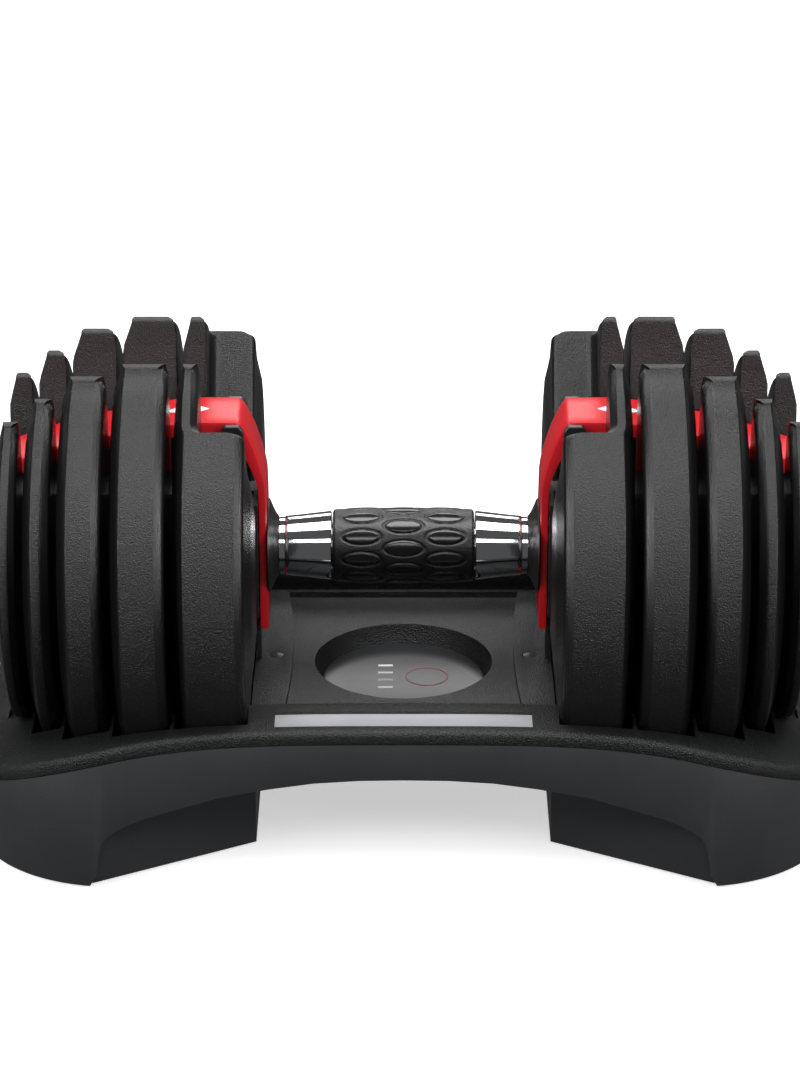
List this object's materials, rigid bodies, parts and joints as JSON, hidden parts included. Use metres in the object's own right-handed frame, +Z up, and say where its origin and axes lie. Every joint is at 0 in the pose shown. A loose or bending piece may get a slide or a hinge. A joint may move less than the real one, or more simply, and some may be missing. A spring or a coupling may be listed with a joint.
{
  "type": "adjustable dumbbell",
  "caption": "Selector dumbbell in a cradle tray: slotted weight plates on each side, a dial on each end that picks the plates, and a rubber grip between chrome collars.",
  "frame": {"origin": "on the floor, under the middle of the handle, at the bottom of the tray's feet", "axes": "+X along the handle to the right, -Y towards the front, +Z up"},
  "size_m": [0.43, 0.211, 0.2252],
  "materials": {
    "grey_shell": "satin moulded",
    "black_shell": "fine textured moulded",
    "plate_casing": "textured moulded",
    "red_cover": "satin moulded",
    "grip_rubber": "moulded with oval dimples",
    "foot_rubber": "matte",
    "chrome": "polished",
    "shaft_steel": "turned",
    "core_steel": "oxide coated",
    "screw_steel": "zinc plated",
    "spring_steel": "bright",
    "dial_plastic": "satin moulded",
    "selector_nylon": "moulded",
    "dish_disc": "satin"
  },
  "bodies": {
    "tray": {"tray_deck": "black_shell", "tray_base": "grey_shell", "dish_insert": "dish_disc", "foot_front_left": "foot_rubber", "foot_front_right": "foot_rubber", "foot_rear_left": "foot_rubber", "foot_rear_right": "foot_rubber", "deck_screw_left": "screw_steel", "deck_screw_right": "screw_steel"},
    "handle": {"handle_bar": "shaft_steel", "grip": "grip_rubber", "collar_right": "chrome", "hub_right": "black_shell", "cover_right": "red_cover", "spring_housing_right": "black_shell", "lock_spring_right": "spring_steel", "end_screw_right": "screw_steel", "collar_left": "chrome", "hub_left": "black_shell", "cover_left": "red_cover", "spring_housing_left": "black_shell", "lock_spring_left": "spring_steel", "end_screw_left": "screw_steel"},
    "lock_slide_right": {"lock_slide_right": "selector_nylon"},
    "dial_right": {"dial_right": "dial_plastic", "selector_sleeve_right": "selector_nylon", "selector_disc_1_right": "selector_nylon", "selector_disc_2_right": "selector_nylon", "selector_disc_3_right": "selector_nylon", "selector_disc_4_right": "selector_nylon", "selector_disc_5_right": "selector_nylon"},
    "plate_1_right": {"plate_1_casing_right": "plate_casing", "plate_1_core_right": "core_steel"},
    "plate_2_right": {"plate_2_casing_right": "plate_casing", "plate_2_core_right": "core_steel"},
    "plate_3_right": {"plate_3_casing_right": "plate_casing", "plate_3_core_right": "core_steel"},
    "plate_4_right": {"plate_4_casing_right": "plate_casing", "plate_4_core_right": "core_steel"},
    "plate_5_right": {"plate_5_casing_right": "plate_casing", "plate_5_core_right": "core_steel"},
    "lock_slide_left": {"lock_slide_left": "selector_nylon"},
    "dial_left": {"dial_left": "dial_plastic", "selector_sleeve_left": "selector_nylon", "selector_disc_1_left": "selector_nylon", "selector_disc_2_left": "selector_nylon", "selector_disc_3_left": "selector_nylon", "selector_disc_4_left": "selector_nylon", "selector_disc_5_left": "selector_nylon"},
    "plate_1_left": {"plate_1_casing_left": "plate_casing", "plate_1_core_left": "core_steel"},
    "plate_2_left": {"plate_2_casing_left": "plate_casing", "plate_2_core_left": "core_steel"},
    "plate_3_left": {"plate_3_casing_left": "plate_casing", "plate_3_core_left": "core_steel"},
    "plate_4_left": {"plate_4_casing_left": "plate_casing", "plate_4_core_left": "core_steel"},
    "plate_5_left": {"plate_5_casing_left": "plate_casing", "plate_5_core_left": "core_steel"}
  },
  "joints": [
    {"name": "handle_lift", "type": "slide", "parent": "tray", "child": "handle", "axis": [0, 0, 1], "range_m": [0, 0.25]},
    {"name": "lock_drop_right", "type": "slide", "parent": "handle", "child": "lock_slide_right", "axis": [0, 0, 1], "range_m": [-0.004, 0], "deforming": ["lock_spring_right"]},
    {"name": "dial_turn_right", "type": "hinge", "parent": "handle", "child": "dial_right", "pos_m": [0.2, 0, 0.124], "axis": [-1, 0, 0], "range_deg": [0, 336]},
    {"name": "plate_1_lift_right", "type": "slide", "parent": "tray", "child": "plate_1_right", "axis": [0, 0, 1], "range_m": [0, 0.25]},
    {"name": "plate_2_lift_right", "type": "slide", "parent": "tray", "child": "plate_2_right", "axis": [0, 0, 1], "range_m": [0, 0.25]},
    {"name": "plate_3_lift_right", "type": "slide", "parent": "tray", "child": "plate_3_right", "axis": [0, 0, 1], "range_m": [0, 0.25]},
    {"name": "plate_4_lift_right", "type": "slide", "parent": "tray", "child": "plate_4_right", "axis": [0, 0, 1], "range_m": [0, 0.25]},
    {"name": "plate_5_lift_right", "type": "slide", "parent": "tray", "child": "plate_5_right", "axis": [0, 0, 1], "range_m": [0, 0.25]},
    {"name": "lock_drop_left", "type": "slide", "parent": "handle", "child": "lock_slide_left", "axis": [0, 0, 1], "range_m": [-0.004, 0], "deforming": ["lock_spring_left"]},
    {"name": "dial_turn_left", "type": "hinge", "parent": "handle", "child": "dial_left", "pos_m": [-0.2, 0, 0.124], "axis": [-1, 0, 0], "range_deg": [0, 336]},
    {"name": "plate_1_lift_left", "type": "slide", "parent": "tray", "child": "plate_1_left", "axis": [0, 0, 1], "range_m": [0, 0.25]},
    {"name": "plate_2_lift_left", "type": "slide", "parent": "tray", "child": "plate_2_left", "axis": [0, 0, 1], "range_m": [0, 0.25]},
    {"name": "plate_3_lift_left", "type": "slide", "parent": "tray", "child": "plate_3_left", "axis": [0, 0, 1], "range_m": [0, 0.25]},
    {"name": "plate_4_lift_left", "type": "slide", "parent": "tray", "child": "plate_4_left", "axis": [0, 0, 1], "range_m": [0, 0.25]},
    {"name": "plate_5_lift_left", "type": "slide", "parent": "tray", "child": "plate_5_left", "axis": [0, 0, 1], "range_m": [0, 0.25]}
  ],
  "couplings": [
    {"joint": "lock_drop_right", "follows": "handle_lift", "ratio": -0.016},
    {"joint": "plate_1_lift_right", "follows": "handle_lift", "ratio": 1},
    {"joint": "plate_2_lift_right", "follows": "handle_lift", "ratio": 1},
    {"joint": "plate_3_lift_right", "follows": "handle_lift", "ratio": 1},
    {"joint": "plate_4_lift_right", "follows": "handle_lift", "ratio": 1},
    {"joint": "plate_5_lift_right", "follows": "handle_lift", "ratio": 1},
    {"joint": "lock_drop_left", "follows": "handle_lift", "ratio": -0.016},
    {"joint": "plate_1_lift_left", "follows": "handle_lift", "ratio": 1},
    {"joint": "plate_2_lift_left", "follows": "handle_lift", "ratio": 1},
    {"joint": "plate_3_lift_left", "follows": "handle_lift", "ratio": 1},
    {"joint": "plate_4_lift_left", "follows": "handle_lift", "ratio": 1},
    {"joint": "plate_5_lift_left", "follows": "handle_lift", "ratio": 1}
  ]
}
